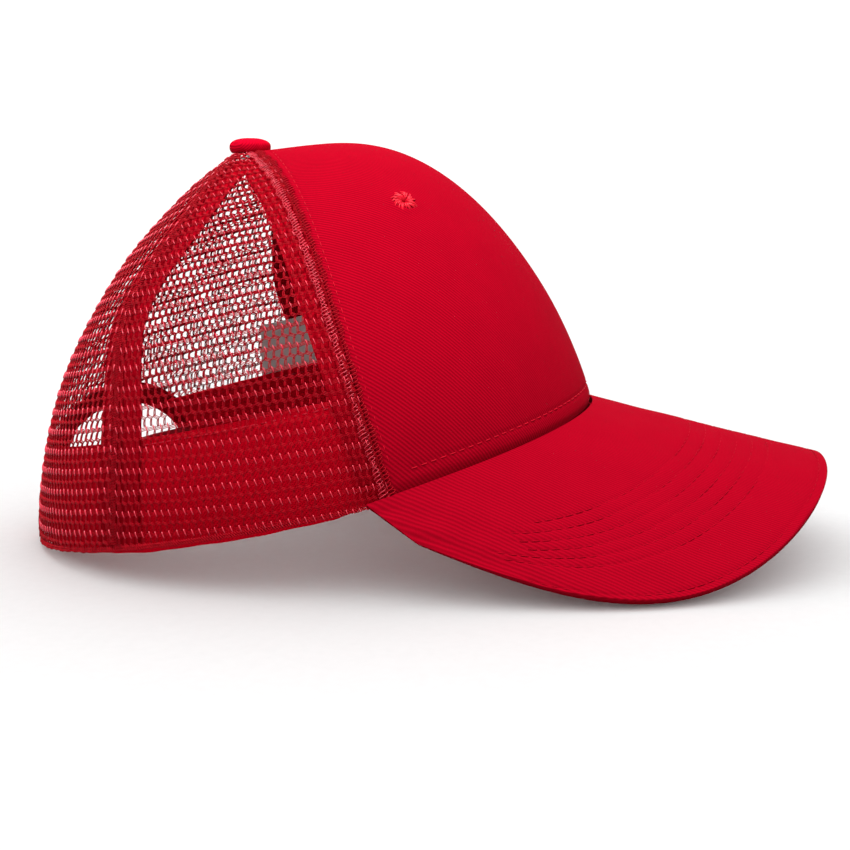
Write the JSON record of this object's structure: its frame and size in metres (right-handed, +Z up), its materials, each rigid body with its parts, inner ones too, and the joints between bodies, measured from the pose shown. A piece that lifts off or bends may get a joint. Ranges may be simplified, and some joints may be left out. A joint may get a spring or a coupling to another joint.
{
  "type": "trucker mesh cap",
  "caption": "Six-panel cap with stiff cotton front, knitted mesh back, curved stitched brim, sweatband and a snap strap across the rear opening.",
  "frame": {"origin": "centre of the head opening, in the sloping plane of the crown's hem", "axes": "+Z up, brim towards -Y, wearer's left towards +X"},
  "size_m": [0.168, 0.2617, 0.134],
  "materials": {
    "front_cotton": "twill",
    "mesh_knit": "open knit",
    "buckram_net": "stiff net",
    "seam_tape": "plain weave",
    "sweatband_cloth": "plain weave",
    "thread": "twisted thread",
    "label_cloth": "satin weave",
    "button_cloth": "twill",
    "button_steel": "bare",
    "brim_cloth": "twill",
    "brim_plastic": "moulded",
    "strap_plastic": "moulded"
  },
  "bodies": {
    "root": {"front_panel_left": "front_cotton", "front_panel_right": "front_cotton", "buckram_left": "buckram_net", "buckram_right": "buckram_net", "side_mesh_left": "mesh_knit", "side_mesh_right": "mesh_knit", "back_mesh_left": "mesh_knit", "back_mesh_right": "mesh_knit", "front_centre_tape": "seam_tape", "front_side_tape_left": "seam_tape", "front_side_tape_right": "seam_tape", "side_back_tape_left": "seam_tape", "side_back_tape_right": "seam_tape", "back_centre_tape": "seam_tape", "button_cover": "button_cloth", "button_shell": "button_steel", "button_rivet": "button_steel", "eyelet_left": "thread", "eyelet_right": "thread", "sweatband": "sweatband_cloth", "sweatband_stitching": "thread", "care_label": "label_cloth", "crown_topstitching": "thread", "arch_binding": "seam_tape", "arch_stitching": "thread", "brim_top_cover": "brim_cloth", "brim_board": "brim_plastic", "brim_under_cover": "brim_cloth", "brim_stitching": "thread", "strap_root_left": "strap_plastic", "strap_root_right": "strap_plastic"},
    "strap_outer": {"strap_with_holes": "strap_plastic"},
    "strap_inner": {"strap_with_studs": "strap_plastic"}
  },
  "joints": [
    {"name": "strap_outer_swing", "type": "hinge", "parent": "root", "child": "strap_outer", "pos_m": [0.05464, 0.06623, -0.00365], "axis": [0.0416, 0.0372, -0.9984], "range_deg": [0, 60], "stiffness_Nm_per_rad": 0.01},
    {"name": "strap_inner_swing", "type": "hinge", "parent": "root", "child": "strap_inner", "pos_m": [-0.00414, 0.0911, -0.00915], "axis": [-0.0032, 0.0582, -0.9983], "range_deg": [0, 45], "stiffness_Nm_per_rad": 0.01}
  ]
}
